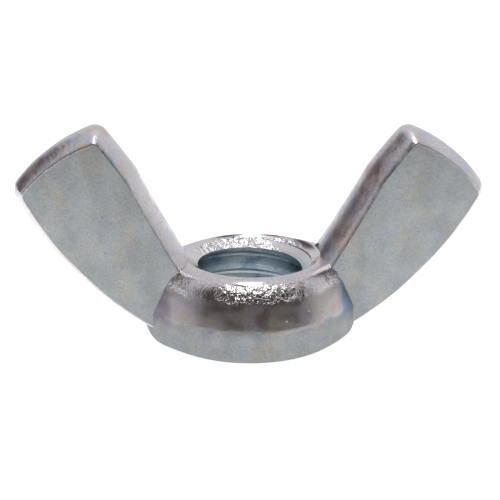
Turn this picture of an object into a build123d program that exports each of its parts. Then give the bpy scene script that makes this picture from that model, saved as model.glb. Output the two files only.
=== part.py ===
from build123d import *
from build123d.topology import SkipClean
import os
from math import radians, tan

# M8 wing nut of the rectangular-wing form: one piece of cold-forged, tapped and zinc-plated steel.
# Millimetres. Z is the thread's axis, z = 0 is the bearing face, the wings spread along X and their
# flat faces look along Y.

# Thread: M8 coarse, right-handed
PITCH = 1.25
MAJOR_R = 4.0
MINOR_R = 3.38               # crests of the tapped hole
FLANK_ANGLE = 60.0
RUN_OUT_TURNS = 1            # the tap starts and ends this many turns outside the nut
GROOVE_START_R = 3.23        # the groove's cutter starts inside the drilled hole
TURN_OVERLAP = 1.01          # each turn of the cutter runs this little into the next

# Hub: a bell with an upright foot, a domed flank and a narrow top ring
BASE_R = 6.2
TOP_R = 4.4                  # where the dome ends
HUB_H = 5.2
FOOT_H = 1.6                 # upright part of the foot
DOME_MID = (5.45, 3.75)
FOOT_EDGE = 0.35             # rounding under the foot
RING_EDGE = 0.4              # rounding at the outside of the top ring
COUNTERSINK_R = 4.08         # mouth of the countersink at both faces
COUNTERSINK_ANGLE = 90.0
CUT_OVER = 0.5               # how far cutters reach past the faces that they open

# Wings, in side view (distance from the axis, height)
SPAN = 30.0
FOOT_X = 3.8                 # the wing's root reaches this far into the hub
INNER_FOOT = (FOOT_X, 4.75)
INNER_MID = (6.55, 9.6)
INNER_TOP = (9.35, 13.9)
TIP = (15.2, 9.55)
LOWER_BEND = (12.1, 5.35)    # end of the straight stretch below the tip
LOWER_MID = (9.25, 2.1)
LOWER_FOOT = (6.0, 0.12)     # where the lower edge meets the rim of the foot
END_BOW = 0.6                # how far the outer end bulges
CORNER_R = 0.9
WING_T_ROOT = 4.4            # thickness at the rim of the foot
WING_T_TIP = 3.1             # thickness at the outer corner
EDGE_FALL = 0.55             # how far the bulged side edges fall back at the flat faces
EDGE_DEPTH = 1.0             # how deep into the thickness they do so


def hub():
    """Solid bell, turned about Z."""
    with BuildPart() as turned:
        with BuildSketch(Plane.XZ):
            with BuildLine():
                Polyline((TOP_R, HUB_H), (0, HUB_H), (0, 0), (BASE_R, 0), (BASE_R, FOOT_H))
                ThreePointArc((BASE_R, FOOT_H), DOME_MID, (TOP_R, HUB_H))
            make_face()
        revolve(axis=Axis.Z)
        rims = turned.edges().filter_by(GeomType.CIRCLE).sort_by(Axis.Z)
        fillet(rims[0], FOOT_EDGE)
        rims = turned.edges().filter_by(GeomType.CIRCLE).sort_by(Axis.Z)
        fillet(rims[-1], RING_EDGE)
    return turned.part


def wing_outline():
    """Side view of the right wing, on the XZ plane."""
    chord = Vector(*TIP) - Vector(*INNER_TOP)
    bow = Vector(-chord.Y, chord.X).normalized() * END_BOW
    end_mid = Vector(*INNER_TOP) + chord * 0.5 + bow
    with BuildSketch(Plane.XZ) as side:
        with BuildLine():
            ThreePointArc(INNER_FOOT, INNER_MID, INNER_TOP)
            ThreePointArc(INNER_TOP, end_mid, TIP)
            Line(TIP, LOWER_BEND)
            ThreePointArc(LOWER_BEND, LOWER_MID, LOWER_FOOT)
            Polyline(LOWER_FOOT, (FOOT_X, LOWER_FOOT[1]), INNER_FOOT)
        make_face()
        corners = side.vertices().sort_by(Axis.Y)[-1:] + side.vertices().sort_by(Axis.X)[-1:]
        fillet(corners, CORNER_R)
    return side.sketch


def wing():
    """Right wing: flat tapering faces, with side edges that fall back towards them."""
    taper = (WING_T_ROOT - WING_T_TIP) / 2 / (SPAN / 2 - BASE_R)
    half_axis = WING_T_ROOT / 2 + taper * BASE_R
    reach = SPAN / 2 + CUT_OVER
    half_reach = half_axis - taper * reach
    body = extrude(wing_outline(), amount=WING_T_ROOT, both=True)
    with BuildPart() as slab:
        with BuildSketch(Plane.XY):
            with BuildLine():
                Polyline(
                    (0, -half_axis), (reach, -half_reach), (reach, half_reach), (0, half_axis), close=True
                )
            make_face()
        extrude(amount=INNER_TOP[1] + CUT_OVER)
    body = body & slab.part
    for side in (0, -1):
        face = body.faces().sort_by(Axis.Y)[side]
        body = chamfer(face.edges(), length=EDGE_FALL, length2=EDGE_DEPTH, reference=face)
    return body


def bore_quarters():
    """The tap drill's hole as four sectors, so that each thread crest is cut as quarter-turn faces."""
    quarters = []
    for start in (0, 90, 180, 270):
        sector = Cylinder(
            MINOR_R, HUB_H + 2 * CUT_OVER, arc_size=90, align=(Align.NONE, Align.NONE, Align.MIN)
        )
        quarters.append(Pos(0, 0, -CUT_OVER) * sector.rotate(Axis.Z, start))
    return quarters


def thread_turns():
    """What the tap cuts: a 60 degree groove with a flat root, one solid for each turn of the helix."""
    half_root = PITCH / 16
    half_mouth = half_root + (MAJOR_R - GROOVE_START_R) * tan(radians(FLANK_ANGLE / 2))
    turns = []
    for turn in range(-RUN_OUT_TURNS, int(HUB_H / PITCH) + RUN_OUT_TURNS):
        start = turn * PITCH
        path = Helix(PITCH, PITCH * TURN_OVERLAP, GROOVE_START_R, center=(0, 0, start))
        with BuildSketch(Plane.XZ) as section:
            with BuildLine():
                Polyline(
                    (GROOVE_START_R, start - half_mouth),
                    (MAJOR_R, start - half_root),
                    (MAJOR_R, start + half_root),
                    (GROOVE_START_R, start + half_mouth),
                    close=True,
                )
            make_face()
        turns.append(sweep(section.sketch, path=path, is_frenet=True))
    return turns


def countersink(face_z, inwards):
    """Cone that opens the bore at one face; inwards is +1 at the bearing face and -1 at the top."""
    slope = tan(radians(COUNTERSINK_ANGLE / 2))
    outer_z = face_z - inwards * CUT_OVER
    outer_r = COUNTERSINK_R + CUT_OVER * slope
    inner_z = face_z + inwards * (COUNTERSINK_R - GROOVE_START_R) / slope
    with BuildPart() as cone:
        with BuildSketch(Plane.XZ):
            with BuildLine():
                Polyline(
                    (0, outer_z), (outer_r, outer_z), (GROOVE_START_R, inner_z), (0, inner_z), close=True
                )
            make_face()
        revolve(axis=Axis.Z)
    return cone.part


right = wing()
nut = hub() + right + right.rotate(Axis.Z, 180)
with SkipClean():
    for cutter in bore_quarters() + thread_turns():
        nut = nut - cutter
    nut = nut - countersink(0, 1) - countersink(HUB_H, -1)

os.makedirs("parts", exist_ok=True)
export_step(nut, "parts/wing_nut.step")
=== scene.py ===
import math

import bmesh
import bpy
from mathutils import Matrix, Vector


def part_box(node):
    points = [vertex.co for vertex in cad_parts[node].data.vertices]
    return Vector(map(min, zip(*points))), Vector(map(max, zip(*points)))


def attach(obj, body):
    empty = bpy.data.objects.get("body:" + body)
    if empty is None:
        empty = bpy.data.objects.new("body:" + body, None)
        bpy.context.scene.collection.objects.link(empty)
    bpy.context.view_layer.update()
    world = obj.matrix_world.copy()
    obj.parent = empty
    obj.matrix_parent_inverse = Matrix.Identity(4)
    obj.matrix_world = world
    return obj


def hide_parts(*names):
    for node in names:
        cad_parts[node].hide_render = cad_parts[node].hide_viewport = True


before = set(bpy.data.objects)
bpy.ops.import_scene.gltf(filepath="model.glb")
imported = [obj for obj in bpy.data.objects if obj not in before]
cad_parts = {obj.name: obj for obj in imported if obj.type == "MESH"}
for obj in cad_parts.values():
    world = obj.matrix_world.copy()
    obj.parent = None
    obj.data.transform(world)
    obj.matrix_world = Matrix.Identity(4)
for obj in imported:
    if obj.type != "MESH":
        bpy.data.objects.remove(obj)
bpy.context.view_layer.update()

# --- Hub ------------------------------------------------------------------------------------------
# The middle of the forging, in zinc-plated steel: an upright foot, a domed flank and a narrow top
# ring. It is turned up ring by ring, then each side is drawn out into a hollow web for its wing.

MM = 0.001
foot_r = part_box("wing_nut")[1].y       # the foot is the nut's widest part across Y
foot_round = 0.35 * MM                 # rounding under the foot
face_trim = 0.02 * MM                  # what is ground off the bearing face
foot_h = 1.95 * MM
hub_h = 5.0 * MM
shoulder_low = (5.5 * MM, 3.85 * MM)   # where the flank turns over into the shoulder
shoulder_high = (4.6 * MM, 4.88 * MM)
ring_r = 4.15 * MM                     # crest of the rounded ring around the bore
hub_sides = 192


def clear_selection():
    """Leaves edit mode and deselects everything."""
    if bpy.context.object and bpy.context.object.mode != "OBJECT":
        bpy.ops.object.mode_set(mode="OBJECT")
    bpy.ops.object.select_all(action="DESELECT")


def pick(test, kind="VERT"):
    """In edit mode, selects the active mesh's vertices, or the edges whose middle passes the test."""
    bpy.ops.mesh.select_mode(type=kind)
    bpy.ops.mesh.select_all(action="DESELECT")
    mesh = bmesh.from_edit_mesh(bpy.context.edit_object.data)
    if kind == "VERT":
        for vert in mesh.verts:
            vert.select = test(vert.co)
    else:
        for edge in mesh.edges:
            edge.select = test((edge.verts[0].co + edge.verts[1].co) / 2)
    mesh.select_flush_mode()
    bmesh.update_edit_mesh(bpy.context.edit_object.data)


def turned(name, profile, sides):
    """A closed body of revolution about Z, made by extruding a ring through (radius, height) steps."""
    clear_selection()
    radius, height = profile[0]
    bpy.ops.mesh.primitive_circle_add(
        vertices=sides, radius=radius, fill_type="NGON", location=(0, 0, height), enter_editmode=True
    )
    bpy.ops.object.mode_set(mode="OBJECT")
    body = bpy.context.object
    body.name = name
    bpy.ops.object.transform_apply()
    bpy.ops.object.mode_set(mode="EDIT")
    bpy.ops.mesh.select_all(action="SELECT")
    for next_radius, next_height in profile[1:]:
        bpy.ops.mesh.extrude_region_move(
            TRANSFORM_OT_translate={"value": (0, 0, next_height - height)}
        )
        grow = next_radius / radius
        bpy.ops.transform.resize(value=(grow, grow, 1), center_override=(0, 0, next_height))
        radius, height = next_radius, next_height
    bpy.ops.mesh.select_all(action="SELECT")
    bpy.ops.mesh.normals_make_consistent(inside=False)
    bpy.ops.object.mode_set(mode="OBJECT")
    return body


def arc(start, end, bulge, steps):
    """Points after start on an arc to end that stands proud of the chord by bulge, to its right."""
    chord = Vector(end) - Vector(start)
    right = Vector((chord.y, -chord.x)).normalized()
    points = []
    for step in range(1, steps + 1):
        along = step / steps
        place = Vector(start) + chord * along + right * bulge * 4 * along * (1 - along)
        points.append(tuple(place))
    return points


# From the bearing face up: each stretch's end, how far it bulges, and its steps.
stretches = (
    ((foot_r, foot_round), 0.1 * MM, 5),
    ((foot_r, foot_h), 0.0, 4),
    (shoulder_low, 0.04 * MM, 8),
    (shoulder_high, 0.14 * MM, 10),
    ((ring_r, hub_h), 0.015 * MM, 4),
)
profile = [(foot_r - foot_round, -face_trim)]
for end, bulge, steps in stretches:
    profile += arc(profile[-1], end, bulge, steps)
hub = turned("hub", profile, hub_sides)

# Each wing is fed by a web: the hub's whole side swells out towards it.
web_low = 0.5 * MM
web_high = 4.9 * MM
web_half = 2.0 * MM
web_from = 3.0 * MM                    # only what is further out than this is drawn
web_out = 0.65 * MM
web_reach = 3.2 * MM                   # how far around the swelling fades out
clear_selection()
hub.select_set(True)
bpy.context.view_layer.objects.active = hub
bpy.ops.object.mode_set(mode="EDIT")
for side in (-1, 1):
    pick(lambda co: co.x * side > web_from and abs(co.y) < web_half and web_low < co.z < web_high)
    bpy.ops.transform.translate(
        value=(side * web_out, 0, 0),
        use_proportional_edit=True,
        proportional_edit_falloff="SHARP",
        proportional_size=web_reach,
    )
bpy.ops.object.mode_set(mode="OBJECT")


def shaders(tree, kind, values=None, **settings):
    """Adds a node, sets its settings, and sets or links each named or numbered input."""
    node = tree.nodes.new(kind)
    for name, value in settings.items():
        setattr(node, name, value)
    for name, value in (values or {}).items():
        if isinstance(value, bpy.types.NodeSocket):
            tree.links.new(value, node.inputs[name])
        else:
            node.inputs[name].default_value = value
    return node


def blend(tree, share, first, second):
    """A colour between two others; a Mix node's colour sockets are its inputs 6 and 7."""
    values = {0: share, 6: first, 7: second}
    return shaders(tree, "ShaderNodeMix", values, data_type="RGBA").outputs[2]


def between(tree, value, low, high, first=0.0, second=1.0):
    """Runs smoothly from first to second while value runs from low to high."""
    node = shaders(
        tree,
        "ShaderNodeMapRange",
        {"Value": value, "From Min": low, "From Max": high, "To Min": first, "To Max": second},
        interpolation_type="SMOOTHSTEP",
    )
    return node.outputs["Result"]


def maths(tree, operation, first, second=0.0):
    """One operation on two values."""
    node = shaders(tree, "ShaderNodeMath", {0: first, 1: second}, operation=operation)
    return node.outputs[0]


def product(tree, *values):
    """All the values multiplied together."""
    result = values[0]
    for value in values[1:]:
        result = maths(tree, "MULTIPLY", result, value)
    return result


def noise(tree, vector, scale, detail=2.0, rough=0.5):
    """Noise about the middle value 0.5; vector is in millimetres."""
    node = shaders(
        tree,
        "ShaderNodeTexNoise",
        {"Vector": vector, "Scale": scale, "Detail": detail, "Roughness": rough},
    )
    return node.outputs["Fac"]


def effect(name, inputs, outputs):
    """An empty shader node group with named sockets; returns it with its input and output nodes."""
    tree = bpy.data.node_groups.new(name, "ShaderNodeTree")
    for label, kind, value in inputs:
        socket = tree.interface.new_socket(label, in_out="INPUT", socket_type=kind)
        socket.default_value = value
    for label, kind in outputs:
        tree.interface.new_socket(label, in_out="OUTPUT", socket_type=kind)
    return tree, tree.nodes.new("NodeGroupInput"), tree.nodes.new("NodeGroupOutput")


def make_film():
    """The plating's passivation: thin-film tints that drift from a warm cast to a cool one."""
    tree, given, result = effect(
        "passivation_film",
        (
            ("Vector", "NodeSocketVector", (0, 0, 0)),
            ("Zinc", "NodeSocketColor", (0.6, 0.6, 0.6, 1)),
            ("Warm", "NodeSocketColor", (0.6, 0.5, 0.4, 1)),
            ("Cool", "NodeSocketColor", (0.4, 0.5, 0.6, 1)),
            ("Amount", "NodeSocketFloat", 0.5),
        ),
        (("Color", "NodeSocketColor"),),
    )
    vector = given.outputs["Vector"]
    warm = between(tree, noise(tree, vector, 0.55, 3.0), 0.5, 0.68)
    cool = between(tree, noise(tree, vector, 0.8, 3.0, 0.6), 0.36, 0.5, 1.0, 0.0)
    amount = given.outputs["Amount"]
    colour = blend(tree, product(tree, warm, amount), given.outputs["Zinc"], given.outputs["Warm"])
    colour = blend(tree, product(tree, cool, amount), colour, given.outputs["Cool"])
    mottle = between(tree, noise(tree, vector, 7.0, 4.0, 0.7), 0.3, 0.7, 0.88, 1.1)
    shade = shaders(tree, "ShaderNodeHueSaturation", {"Value": mottle, "Color": colour})
    tree.links.new(shade.outputs[0], result.inputs["Color"])
    return tree


def make_pits():
    """Scattered round pits; Mask is 1 in a pit, and Spacing is in millimetres."""
    tree, given, result = effect(
        "pits",
        (
            ("Vector", "NodeSocketVector", (0, 0, 0)),
            ("Spacing", "NodeSocketFloat", 0.6),
            ("Share", "NodeSocketFloat", 0.4),
            ("Size", "NodeSocketFloat", 0.2),
        ),
        (("Mask", "NodeSocketFloat"),),
    )
    scale = maths(tree, "DIVIDE", 1.0, given.outputs["Spacing"])
    cells = shaders(
        tree,
        "ShaderNodeTexVoronoi",
        {"Vector": given.outputs["Vector"], "Scale": scale, "Randomness": 1.0},
    )
    parts = shaders(tree, "ShaderNodeSeparateColor", {0: cells.outputs["Color"]})
    present = maths(tree, "LESS_THAN", parts.outputs[0], given.outputs["Share"])
    edge = product(tree, given.outputs["Size"], parts.outputs[1])
    inside = maths(tree, "SUBTRACT", 1.0, maths(tree, "DIVIDE", cells.outputs["Distance"], edge))
    inside = between(tree, inside, 0.0, 0.6)
    tree.links.new(product(tree, present, inside), result.inputs["Mask"])
    return tree


lump_share = 0.15                      # the lumps' noise scale as a share of the grit's


def make_grain():
    """The skin's own relief, as a height about 0: fine grit over soft lumps, with Size in mm."""
    tree, given, result = effect(
        "skin_grain",
        (
            ("Vector", "NodeSocketVector", (0, 0, 0)),
            ("Size", "NodeSocketFloat", 0.2),
            ("Lumps", "NodeSocketFloat", 0.5),
        ),
        (("Height", "NodeSocketFloat"),),
    )
    scale = maths(tree, "DIVIDE", 1.0, given.outputs["Size"])
    grit = noise(tree, given.outputs["Vector"], scale, 3.0, 0.6)
    lumps = noise(tree, given.outputs["Vector"], product(tree, scale, lump_share), 2.0)
    lumps = product(tree, maths(tree, "SUBTRACT", lumps, 0.5), given.outputs["Lumps"])
    height = maths(tree, "ADD", maths(tree, "SUBTRACT", grit, 0.5), lumps)
    tree.links.new(height, result.inputs["Height"])
    return tree


passivation_film = make_film()
pits = make_pits()
skin_grain = make_grain()


def use(tree, group, values):
    """Places a node group in a material and returns what it puts out."""
    return shaders(tree, "ShaderNodeGroup", values, node_tree=group).outputs[0]


def film(tree, place, tints, amount):
    """Zinc under its film; the tints are the zinc's own, the warm cast and the cool one."""
    zinc, warm, cool = tints
    return use(tree, passivation_film, {
        "Vector": place,
        "Zinc": (*zinc, 1.0),
        "Warm": (*warm, 1.0),
        "Cool": (*cool, 1.0),
        "Amount": amount,
    })


def grain(tree, place, size, lumps):
    """The skin's relief in one material, sized in millimetres."""
    return use(tree, skin_grain, {"Vector": place, "Size": size, "Lumps": lumps})


def plated(name):
    """A bright zinc surface: the material, its nodes, its Principled shader and its place in mm."""
    finish = bpy.data.materials.new(name)
    finish.use_nodes = True
    tree = finish.node_tree
    metal = tree.nodes["Principled BSDF"]
    metal.inputs["Metallic"].default_value = 1.0
    place = shaders(tree, "ShaderNodeTexCoord")
    millimetres = shaders(
        tree, "ShaderNodeVectorMath", {0: place.outputs["Object"], "Scale": 1000.0}, operation="SCALE"
    )
    return finish, tree, metal, millimetres.outputs[0]


def relief(tree, metal, height, distance):
    """Bumps a surface; distance is the depth, in metres, that a height of 1 stands for."""
    bump = shaders(
        tree, "ShaderNodeBump", {"Height": height, "Distance": distance, "Strength": 1.0}
    )
    tree.links.new(bump.outputs[0], metal.inputs["Normal"])


# Each finish has the zinc's own colour, a warm cast and a cool one.
foot_tints = ((0.30, 0.309, 0.315), (0.32, 0.31, 0.285), (0.27, 0.295, 0.325))
flank_tints = ((0.42, 0.38, 0.375), (0.40, 0.33, 0.24), (0.40, 0.38, 0.46))
ring_tints = ((0.58, 0.53, 0.54), (0.58, 0.50, 0.47), (0.51, 0.53, 0.58))
root_blue = (0.20, 0.26, 0.37, 1.0)
root_purple = (0.22, 0.19, 0.26, 1.0)
foot_rough = 0.5
flank_rough = 0.3
shoulder_rough = 0.2
hub_relief = 0.11 * MM
# Where these give way to one another, in millimetres: each pair runs from low to high.
flank_border = (1.8, 2.3)              # heights
shoulder_border = (3.5, 3.9)
ring_border = (4.62, 4.74)
tint_foot = (1.4, 2.0)
tint_top = (3.4, 4.0)
ring_ends = (4.2, 4.6)                 # distances from the middle along X
sparkle_ends = (2.0, 3.2)
root_sparkle = (4.2, 4.5)
right_tint = (5.3, 5.7)
left_tint = (-5.6, -5.2)


def hub_finish():
    """From below: a matt grey foot, a glossy brown-grey flank that is tinted at each root, a bright
    grainy shoulder and a smooth pinkish ring."""
    finish, tree, metal, place = plated("hub_skin")
    parts = shaders(tree, "ShaderNodeSeparateXYZ", {0: place}).outputs
    height = parts["Z"]
    wander = between(tree, noise(tree, place, 0.9, 3.0), 0.2, 0.8, -0.2, 0.2)
    level = maths(tree, "ADD", height, wander)
    span = maths(tree, "ABSOLUTE", parts["X"])
    flank = between(tree, level, *flank_border)
    shoulder = between(tree, level, *shoulder_border)
    ring = between(tree, height, *ring_border)
    ring = product(tree, ring, between(tree, span, *ring_ends, 1.0, 0.0))
    root = between(tree, level, *tint_foot)
    root = product(tree, root, between(tree, level, *tint_top, 1.0, 0.0))
    right_root = product(tree, root, between(tree, parts["X"], *right_tint))
    left_root = product(tree, root, between(tree, parts["X"], *left_tint, 1.0, 0.0), 0.7)

    colour = film(tree, place, foot_tints, 0.7)
    colour = blend(tree, flank, colour, film(tree, place, flank_tints, 0.6))
    colour = blend(tree, shoulder, colour, film(tree, place, ring_tints, 0.5))
    colour = blend(tree, right_root, colour, root_blue)
    colour = blend(tree, left_root, colour, root_purple)
    tree.links.new(colour, metal.inputs["Base Color"])

    patches = between(tree, noise(tree, place, 1.1, 3.0), 0.35, 0.65, -0.01, 0.08)
    rough = maths(tree, "ADD", between(tree, flank, 0.0, 1.0, foot_rough, flank_rough), patches)
    values = {0: shoulder, 2: rough, 3: shoulder_rough}
    rough = shaders(tree, "ShaderNodeMix", values, data_type="FLOAT").outputs[0]
    tree.links.new(rough, metal.inputs["Roughness"])

    sparkle = between(tree, span, *sparkle_ends, 1.0, 0.12)
    sparkle = maths(tree, "ADD", sparkle, between(tree, span, *root_sparkle, 0.0, 0.3))
    sparkle = product(tree, sparkle, shoulder, maths(tree, "SUBTRACT", 1.0, ring))
    grit_depth = maths(tree, "ADD", between(tree, flank, 0.0, 1.0, 0.22, 0.06), sparkle)
    grit = product(tree, grain(tree, place, 0.3, 1.6), grit_depth)
    pit = use(tree, pits, {"Vector": place, "Spacing": 0.7, "Share": 0.35, "Size": 0.16})
    relief(tree, metal, maths(tree, "SUBTRACT", grit, product(tree, pit, 0.3)), hub_relief)
    return finish


hub.data.materials.append(hub_finish())

# --- Wings ----------------------------------------------------------------------------------------
# Two near-rectangular ears of the same steel forging. The die presses their broad faces flat and
# leaves the metal at the sides free, so every side bulges between two crisp arrises.

inner_foot = Vector((3.35, 0, 3.8)) * MM
inner_top = Vector((9.55, 0, 13.65)) * MM
tip = Vector((15.05, 0, 9.5)) * MM
lower_foot = Vector((5.6, 0, 0.0)) * MM
root_depth = Vector((-1.3, 0, 0)) * MM  # the root runs on this far inside the hub
corner_r = 0.6 * MM
inner_bow = 0.42 * MM
end_bow = 0.6 * MM
lower_bow = 1.05 * MM
side_cuts = 24
root_half = 2.15 * MM                   # half the thickness at the foot's rim
tip_half = 1.3 * MM
edge_fall = 0.62 * MM                   # how far the bulged sides fall back at the flat faces
fall_shift = Vector((0.13, 0, -0.14)) * MM  # they fall back further on the inner side
bulge_steps = (0.32, 0.6, 0.82, 1.0)    # shares of the half thickness
arris_r = 0.07 * MM
forging_tilt = math.radians(1.7)        # the dies met a little out of square
tilt_centre = (0, 0, 3 * MM)
same_place = 0.01 * MM                  # vertices closer than this are one corner
weld = 0.002 * MM                       # and closer than this are merged
pressed_flat = 0.98                     # how nearly a pressed face looks along Y
pressed_tints = ((0.287, 0.298, 0.302), (0.312, 0.303, 0.274), (0.262, 0.285, 0.317))
side_tints = ((0.60, 0.57, 0.58), (0.58, 0.48, 0.44), (0.50, 0.52, 0.60))
stain_brown = (0.33, 0.29, 0.26, 1.0)
pit_grey = (0.25, 0.24, 0.24, 1.0)
pressed_relief = 0.012 * MM
side_relief = 0.025 * MM


def across(chord):
    """Unit vector square to a chord in the XZ plane, to its left when Y looks away."""
    return Vector((-chord.z, 0, chord.x)).normalized()


def bow(start, end, by):
    """Pushes one side of the outline out to its left, as a shallow parabola from corner to corner."""
    chord = end - start
    middle = start + chord / 2
    near = chord.length / side_cuts / 1.5  # takes in the middle vertex only
    pick(lambda co: (co - middle).length < near)
    bpy.ops.transform.translate(
        value=across(chord) * by,
        use_proportional_edit=True,
        proportional_edit_falloff="INVERSE_SQUARE",
        proportional_size=chord.length / 2,
    )


def wing(name):
    """The right-hand ear, from its outline at mid thickness."""
    clear_selection()
    bpy.ops.mesh.primitive_plane_add(size=2 * MM, enter_editmode=True)
    corners = {(-1, -1): lower_foot, (1, -1): tip, (1, 1): inner_top, (-1, 1): inner_foot}
    for (x, y), place in corners.items():
        start = Vector((x, y, 0)) * MM
        pick(lambda co: (co - start).length < same_place)
        bpy.ops.transform.translate(value=place - start)
    for corner in (inner_top, tip):
        pick(lambda co: (co - corner).length < same_place)
        bpy.ops.mesh.bevel(offset=corner_r, segments=6, affect="VERTICES")
    root_middle = (inner_foot + lower_foot) / 2
    pick(lambda co: (co - root_middle).length < same_place, "EDGE")
    bpy.ops.mesh.extrude_edges_move(TRANSFORM_OT_translate={"value": root_depth})
    pick(lambda co: (co - root_middle).length < same_place, "EDGE")
    bpy.ops.mesh.dissolve_edges(use_verts=False)
    for start, end in ((inner_foot, inner_top), (inner_top, tip), (tip, lower_foot)):
        middle = (start + end) / 2
        pick(lambda co: (co - middle).length < corner_r, "EDGE")
        bpy.ops.mesh.subdivide(number_cuts=side_cuts)
    bow(inner_foot, inner_top, inner_bow)
    bow(inner_top, tip, end_bow)
    bow(tip, lower_foot, lower_bow)

    # The front half's bulge: each step goes in by the square of how far it goes forward.
    slope = (root_half - tip_half) / (tip.x - foot_r)
    axis_half = root_half + slope * foot_r
    bpy.ops.mesh.select_all(action="SELECT")
    mesh = bmesh.from_edit_mesh(bpy.context.edit_object.data)
    mesh.normal_update()
    if mesh.faces[:][0].normal.y > 0:
        bpy.ops.mesh.flip_normals()
    reached = 0.0
    for share in bulge_steps:
        inwards = share ** 2 - reached ** 2
        bpy.ops.mesh.inset(thickness=edge_fall * inwards, depth=axis_half * (share - reached))
        bpy.ops.transform.translate(value=fall_shift * inwards)
        reached = share
    bpy.ops.mesh.region_to_loop()
    bpy.ops.mesh.bevel(offset=arris_r, segments=2)
    bpy.ops.object.mode_set(mode="OBJECT")
    ear = bpy.context.object
    ear.name = name

    mirror = ear.modifiers.new("back half", "MIRROR")
    mirror.use_axis = (False, True, False)
    mirror.merge_threshold = weld
    bpy.ops.object.modifier_apply(modifier=mirror.name)
    across_x = [vert.co.x for vert in ear.data.vertices]
    taper = ear.modifiers.new("thinner towards the end", "SIMPLE_DEFORM")
    taper.deform_method = "TAPER"
    taper.deform_axis = "X"
    taper.lock_z = True
    taper.factor = -slope / axis_half * (max(across_x) - min(across_x))
    bpy.ops.object.modifier_apply(modifier=taper.name)
    bpy.ops.object.mode_set(mode="EDIT")
    bpy.ops.mesh.select_all(action="SELECT")
    bpy.ops.mesh.normals_make_consistent(inside=False)
    bpy.ops.object.mode_set(mode="OBJECT")
    return ear


def turn(piece, angle, axis, centre):
    """Turns a whole mesh; with no window open, the operator turns it the other way round."""
    clear_selection()
    piece.select_set(True)
    bpy.context.view_layer.objects.active = piece
    bpy.ops.object.mode_set(mode="EDIT")
    bpy.ops.mesh.select_all(action="SELECT")
    bpy.ops.transform.rotate(value=-angle, orient_axis=axis, center_override=centre)
    bpy.ops.object.mode_set(mode="OBJECT")


def pressed_finish():
    """The wings' flat faces: satin cool grey with faint yellow clouds, fine pits and dried rings."""
    finish, tree, metal, place = plated("pressed_face")
    colour = film(tree, place, pressed_tints, 0.7)
    dried = shaders(tree, "ShaderNodeTexVoronoi", {"Vector": place, "Scale": 0.42})
    off_ring = maths(tree, "SUBTRACT", dried.outputs["Distance"], 0.26)
    ring = between(tree, maths(tree, "ABSOLUTE", off_ring), 0.0, 0.045, 0.3, 0.0)
    broken = between(tree, noise(tree, place, 1.7, 2.0), 0.45, 0.6)
    colour = blend(tree, product(tree, ring, broken), colour, stain_brown)
    pit = use(tree, pits, {"Vector": place, "Spacing": 0.55, "Share": 0.35, "Size": 0.2})
    colour = blend(tree, product(tree, pit, 0.45), colour, pit_grey)
    tree.links.new(colour, metal.inputs["Base Color"])
    rough = between(tree, noise(tree, place, 0.7, 3.0), 0.3, 0.7, 0.36, 0.5)
    tree.links.new(rough, metal.inputs["Roughness"])
    relief(tree, metal, maths(tree, "SUBTRACT", grain(tree, place, 0.22, 2.5), pit), pressed_relief)
    return finish


def free_finish():
    """The bulged sides: pinkish-grey, glossier than the faces and streaked across the thickness."""
    finish, tree, metal, place = plated("free_side")
    colour = film(tree, place, side_tints, 0.9)
    tree.links.new(colour, metal.inputs["Base Color"])
    rough = between(tree, noise(tree, place, 1.3, 3.0), 0.3, 0.7, 0.28, 0.42)
    tree.links.new(rough, metal.inputs["Roughness"])
    stretched = shaders(tree, "ShaderNodeMapping", {"Vector": place, "Scale": (1.0, 0.3, 1.0)})
    relief(tree, metal, grain(tree, stretched.outputs[0], 0.2, 2.0), side_relief)
    return finish


right_wing = wing("right_wing")
right_wing.data.materials.append(free_finish())
right_wing.data.materials.append(pressed_finish())
for face in right_wing.data.polygons:
    face.material_index = 1 if abs(face.normal.y) > pressed_flat else 0
left_wing = right_wing.copy()
left_wing.data = right_wing.data.copy()
left_wing.name = "left_wing"
bpy.context.collection.objects.link(left_wing)
turn(left_wing, math.pi, "Z", (0, 0, 0))
for ear in (right_wing, left_wing):
    turn(ear, forging_tilt, "Y", tilt_centre)


def joined(piece, other, operation):
    """Applies an exact Boolean of other to piece and removes other."""
    clear_selection()
    piece.select_set(True)
    bpy.context.view_layer.objects.active = piece
    step = piece.modifiers.new(other.name, "BOOLEAN")
    step.solver = "EXACT"
    step.material_mode = "TRANSFER"
    step.operation = operation
    step.object = other
    bpy.ops.object.modifier_apply(modifier=step.name)
    bpy.data.objects.remove(other)


forging = hub
forging.name = "wing_nut_forging"
for ear in (right_wing, left_wing):
    joined(forging, ear, "UNION")
bpy.ops.object.mode_set(mode="EDIT")
bpy.ops.mesh.select_all(action="SELECT")
# The bearing face is ground flat. The threshold is fine, or vertices near the cut would stay.
bpy.ops.mesh.bisect(
    plane_co=(0, 0, 0),
    plane_no=(0, 0, 1),
    use_fill=True,
    clear_inner=True,
    threshold=0.001 * MM,
)
bpy.ops.object.mode_set(mode="OBJECT")

# --- Bore -----------------------------------------------------------------------------------------
# Punched through the forging, opened at both faces by a countersink and cut with a right-handed M8
# coarse thread. The top countersink was run in off centre, towards the right-hand wing.

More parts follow.
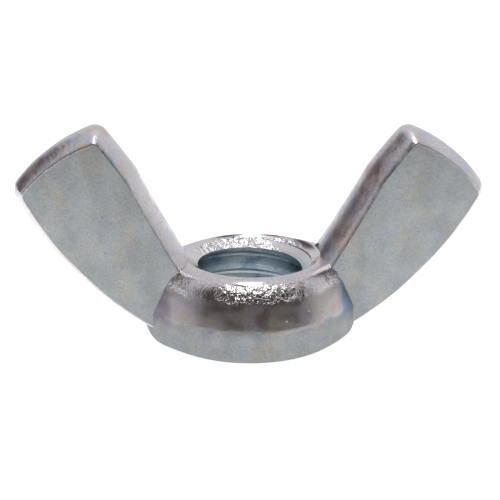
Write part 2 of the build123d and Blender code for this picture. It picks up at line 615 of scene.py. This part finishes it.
pitch = 1.25 * MM
major_r = 4.0 * MM
minor_r = 3.38 * MM
root_flat = pitch / 8
crest_flat = pitch / 4
thread_turns = 8
lead_in = 2 * pitch                    # the tap starts this far below the bearing face
thread_steps = 96                      # to a turn
sink_off = 0.15 * MM
sink_small = (2.96 * MM, 4.0 * MM)     # the top countersink's small end, lip and mouth
sink_lip = (4.2 * MM, 4.87 * MM)
sink_mouth = (4.36 * MM, 5.03 * MM)
clear_above = 7.5 * MM
foot_sink_profile = [(4.58 * MM, -0.5 * MM), (3.1 * MM, 0.98 * MM)]
torn_from = (1.6, 2.6)                 # millimetres along Y over which the torn stretch begins
torn_below = (4.74, 4.86)              # and up Z over which it gives way to the smooth lip
film_top = (4.1, 4.35)                 # heights over which the thread's film fades
crease = math.radians(32)              # edges sharper than this stay sharp
thread_tints = ((0.42, 0.49, 0.53), (0.52, 0.52, 0.50), (0.20, 0.27, 0.36))
sunk_tints = ((0.64, 0.60, 0.61), (0.64, 0.56, 0.52), (0.54, 0.58, 0.64))
lip_pink = (0.6, 0.56, 0.58, 1.0)
# The torn stretch's painted sparkle: dark specks of painted shade and white painted glints in the base
# colour.
painted_shade_speck = (0.26, 0.29, 0.34, 1.0)
painted_highlight_white = (1.0, 1.0, 1.0, 1.0)
thread_rough = 0.28
sunk_rough = 0.2
thread_relief = 0.012 * MM
torn_relief = 0.15 * MM


def tap(name):
    """The thread's cutter: one turn's profile, screwed up the axis and closed at its ends."""
    clear_selection()
    bpy.ops.mesh.primitive_plane_add(size=MM, enter_editmode=True)
    bpy.ops.mesh.merge(type="CENTER")
    flank = (pitch - root_flat - crest_flat) / 2
    steps = (
        Vector((minor_r, 0, -lead_in)),
        Vector((0, 0, crest_flat)),
        Vector((major_r - minor_r, 0, flank)),
        Vector((0, 0, root_flat)),
        Vector((minor_r - major_r, 0, flank)),
    )
    bpy.ops.mesh.select_all(action="SELECT")
    bpy.ops.transform.translate(value=steps[0])
    for step in steps[1:]:
        bpy.ops.mesh.extrude_region_move(TRANSFORM_OT_translate={"value": step})
    bpy.ops.object.mode_set(mode="OBJECT")
    cutter = bpy.context.object
    cutter.name = name
    screw = cutter.modifiers.new("turns", "SCREW")
    screw.axis = "Z"
    screw.screw_offset = pitch
    screw.iterations = thread_turns
    screw.steps = thread_steps
    screw.render_steps = thread_steps
    screw.use_merge_vertices = True
    screw.merge_threshold = weld
    bpy.ops.object.modifier_apply(modifier=screw.name)
    bpy.ops.object.mode_set(mode="EDIT")
    bpy.ops.mesh.select_all(action="SELECT")
    bpy.ops.mesh.remove_doubles(threshold=weld)
    bpy.ops.mesh.select_all(action="DESELECT")
    bpy.ops.mesh.select_mode(type="EDGE")
    bpy.ops.mesh.select_non_manifold()
    bpy.ops.mesh.edge_face_add()
    bpy.ops.mesh.select_all(action="SELECT")
    bpy.ops.mesh.normals_make_consistent(inside=False)
    bpy.ops.object.mode_set(mode="OBJECT")
    return cutter


def cut_finish():
    """The tapped thread: bright cut flanks under a deep blue-green film."""
    finish, tree, metal, place = plated("cut_thread")
    colour = film(tree, place, thread_tints, 0.8)
    height = shaders(tree, "ShaderNodeSeparateXYZ", {0: place}).outputs["Z"]
    colour = blend(tree, between(tree, height, *film_top), colour, lip_pink)
    tree.links.new(colour, metal.inputs["Base Color"])
    metal.inputs["Roughness"].default_value = thread_rough
    relief(tree, metal, grain(tree, place, 0.12, 1.0), thread_relief)
    return finish


def sunk_finish():
    """The countersinks: turned smooth with a pinkish film, but torn at the back, with painted glints
    and painted specks of shade there.
    """
    finish, tree, metal, place = plated("countersink")
    parts = shaders(tree, "ShaderNodeSeparateXYZ", {0: place}).outputs
    torn = between(tree, parts["Y"], *torn_from, 0.04, 1.0)
    torn = product(tree, torn, between(tree, parts["Z"], *torn_below, 1.0, 0.04))
    # Painted sparkle over the torn stretch: dark specks of painted shade, then white painted glints,
    # bright under any lamp.
    dark = between(tree, noise(tree, place, 4.5, 2.0), 0.36, 0.46, 0.6, 0.0)
    painted_glint_mask = between(tree, noise(tree, place, 3.1, 3.0), 0.5, 0.58)
    colour = film(tree, place, sunk_tints, 0.6)
    colour = blend(tree, product(tree, dark, torn), colour, painted_shade_speck)
    colour = blend(tree, product(tree, painted_glint_mask, torn), colour, painted_highlight_white)
    tree.links.new(colour, metal.inputs["Base Color"])
    metal.inputs["Roughness"].default_value = sunk_rough
    drawn = shaders(tree, "ShaderNodeMapping", {"Vector": place, "Scale": (1.0, 0.8, 0.8)})
    relief(tree, metal, product(tree, grain(tree, drawn.outputs[0], 0.22, 0.5), torn), torn_relief)
    return finish


thread_cutter = tap("tap")
thread_cutter.data.materials.append(cut_finish())
countersink_skin = sunk_finish()

top_profile = [sink_small, sink_lip]
top_profile += arc(sink_lip, sink_mouth, -0.012 * MM, 4)
top_profile += [(sink_mouth[0], clear_above)]
top_sink = turned("top_countersink", top_profile, hub_sides)
top_sink.data.materials.append(countersink_skin)
clear_selection()
top_sink.select_set(True)
bpy.ops.object.mode_set(mode="EDIT")
bpy.ops.mesh.select_all(action="SELECT")
bpy.ops.transform.translate(value=(sink_off, 0, 0))
bpy.ops.object.mode_set(mode="OBJECT")
foot_sink = turned("foot_countersink", foot_sink_profile, hub_sides)
foot_sink.data.materials.append(countersink_skin)
for cutter in (thread_cutter, top_sink, foot_sink):
    joined(forging, cutter, "DIFFERENCE")

clear_selection()
forging.select_set(True)
bpy.context.view_layer.objects.active = forging
bpy.ops.object.mode_set(mode="EDIT")
bpy.ops.mesh.select_all(action="SELECT")
bpy.ops.mesh.remove_doubles(threshold=weld)
bpy.ops.mesh.normals_make_consistent(inside=False)
bpy.ops.object.mode_set(mode="OBJECT")
bpy.ops.object.shade_smooth_by_angle(angle=crease)

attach(forging, "root")
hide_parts("wing_nut")

# --- Floor, light and camera ----------------------------------------------------------------------
# A plain white sweep that glows, so that it shows no shadow, one small lamp over the front and one
# overhead, and a pale room with a dark stretch in front and a dark card at the back on the left.

paper_white = (0.86, 0.86, 0.86, 1.0)
paper_glow = 0.8
room_pale = (0.85, 0.87, 0.9, 1.0)
room_dark = (0.05, 0.04, 0.037, 1.0)
card_dark = (0.12, 0.09, 0.1, 1.0)
card_towards = Vector((-0.83, 0.46, 0.34))
lamp_size = 0.05
# The edges of the dark stretch and of the card, as shares of a unit direction.
front_edge = (0.1, 0.4)
floor_edge = (-0.02, 0.05)
lamp_edge = (0.84, 0.92)
card_edge = (0.86, 0.93)

clear_selection()
bpy.ops.mesh.primitive_plane_add(size=2.0, location=(0, 0, 0))
floor = bpy.context.object
floor.name = "floor"
paper = bpy.data.materials.new("white_paper")
paper.use_nodes = True
sheet = paper.node_tree.nodes["Principled BSDF"].inputs
sheet["Base Color"].default_value = paper_white
sheet["Roughness"].default_value = 0.9
sheet["Emission Color"].default_value = (1.0, 1.0, 1.0, 1.0)
sheet["Emission Strength"].default_value = paper_glow
floor.data.materials.append(paper)

lamps = (
    ("front_lamp", (-0.01, -0.12, 0.28), (0.4, 0, 0), 0.24),
    ("overhead_lamp", (0.0, 0.01, 0.3), (0, 0, 0), 0.08),
)
for name, place, turned_by, watts in lamps:
    bpy.ops.object.light_add(type="AREA", location=place, rotation=turned_by)
    lamp = bpy.context.object
    lamp.name = name
    lamp.data.size = lamp_size
    lamp.data.energy = watts

world = bpy.data.worlds.new("studio")
bpy.context.scene.world = world
world.use_nodes = True
room = world.node_tree
towards = shaders(room, "ShaderNodeTexCoord").outputs["Generated"]
parts = shaders(room, "ShaderNodeSeparateXYZ", {0: towards}).outputs
up = parts["Z"]
level = maths(room, "SQRT", maths(room, "SUBTRACT", 1.0, maths(room, "POWER", up, 2.0)))
facing = maths(room, "DIVIDE", product(room, parts["Y"], -1.0), level)
front = between(room, facing, *front_edge)
above_floor = between(room, up, *floor_edge)
below_lamps = between(room, up, *lamp_edge, 1.0, 0.0)
surround = blend(room, product(room, front, above_floor, below_lamps), room_pale, room_dark)
values = {0: towards, 1: card_towards.normalized()}
card = shaders(room, "ShaderNodeVectorMath", values, operation="DOT_PRODUCT").outputs["Value"]
surround = blend(room, between(room, card, *card_edge), surround, card_dark)
room.links.new(surround, room.nodes["Background"].inputs["Color"])
bpy.context.scene.view_settings.view_transform = "Standard"

azimuth = math.radians(-7.1)
elevation = math.radians(19.2)
distance = 82.1 * MM
target = Vector((0, 0, 5.28 * MM))
back = Vector((
    math.sin(azimuth) * math.cos(elevation),
    -math.cos(azimuth) * math.cos(elevation),
    math.sin(elevation),
))
bpy.ops.object.camera_add(location=target + back * distance)
camera = bpy.context.object
camera.rotation_euler = back.to_track_quat("Z", "Y").to_euler()
camera.data.lens = 92
camera.data.sensor_width = 36
camera.data.clip_start = 0.001
bpy.context.scene.camera = camera
